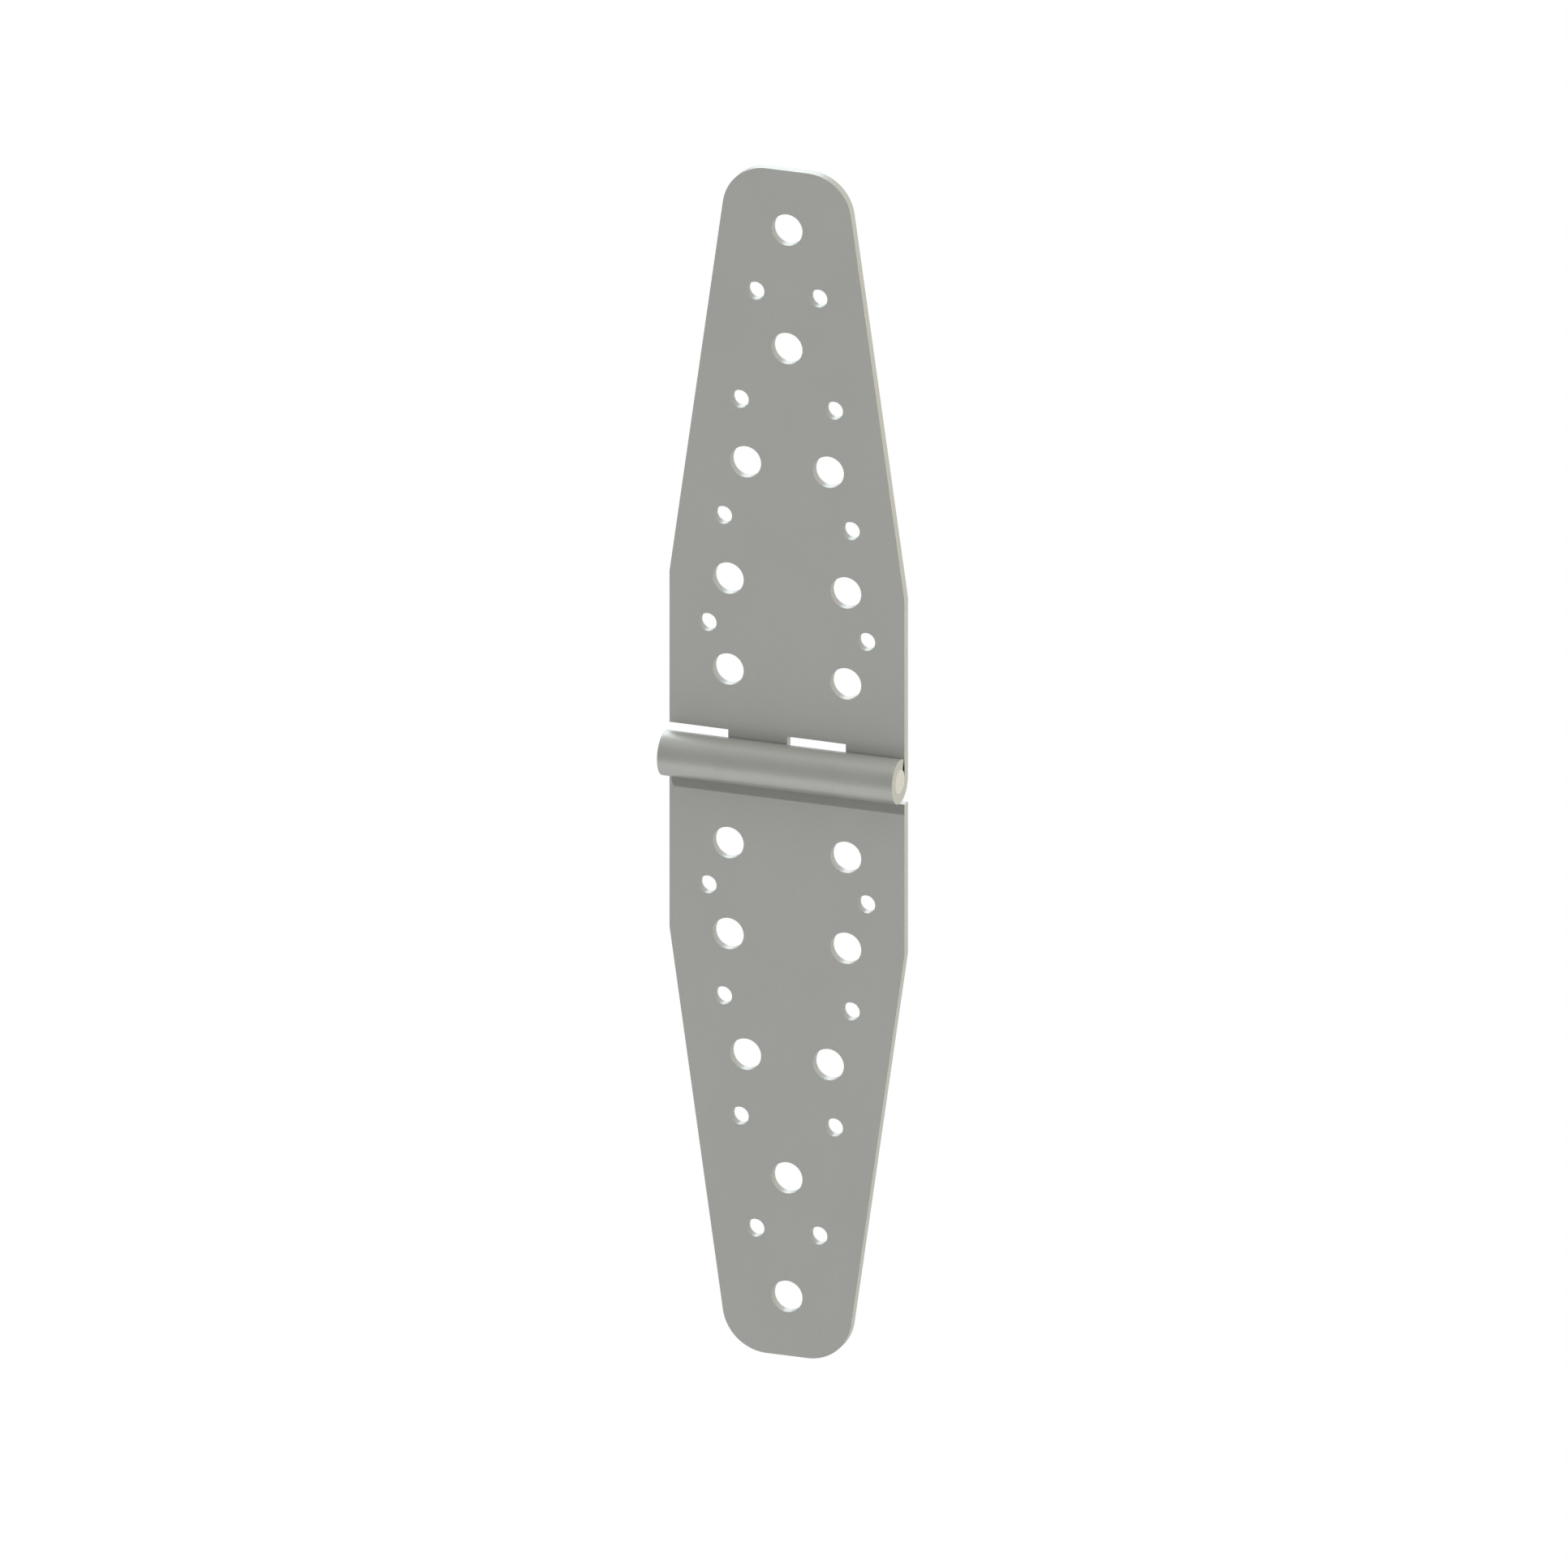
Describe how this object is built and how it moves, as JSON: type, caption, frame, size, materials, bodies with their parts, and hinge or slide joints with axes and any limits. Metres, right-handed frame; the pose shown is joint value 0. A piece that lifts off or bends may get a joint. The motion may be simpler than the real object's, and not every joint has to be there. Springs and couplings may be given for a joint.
{
  "type": "strap hinge",
  "caption": "Tapered sheet-steel strap hinge: two pierced leaves with tongues rolled into knuckles round a plain pin, for doors, gates and flaps.",
  "frame": {"origin": "middle of the pin, on its axis", "axes": "+X along the pin, +Z along the upper leaf to its tip, +Y square to the leaves, out of their flat backs"},
  "size_m": [0.08, 0.0146, 0.4],
  "materials": {
    "leaf_steel": "satin grey zinc-plated sheet steel",
    "pin_steel": "bare drawn steel bar, a little brighter than the leaves"
  },
  "bodies": {
    "upper": {"upper_leaf": "leaf_steel", "pin": "pin_steel"},
    "lower": {"lower_leaf": "leaf_steel"}
  },
  "joints": [
    {"name": "leaf_fold", "type": "hinge", "parent": "upper", "child": "lower", "pos_m": [0, 0, 0], "axis": [-1, 0, 0], "range_deg": [-100, 180]}
  ]
}
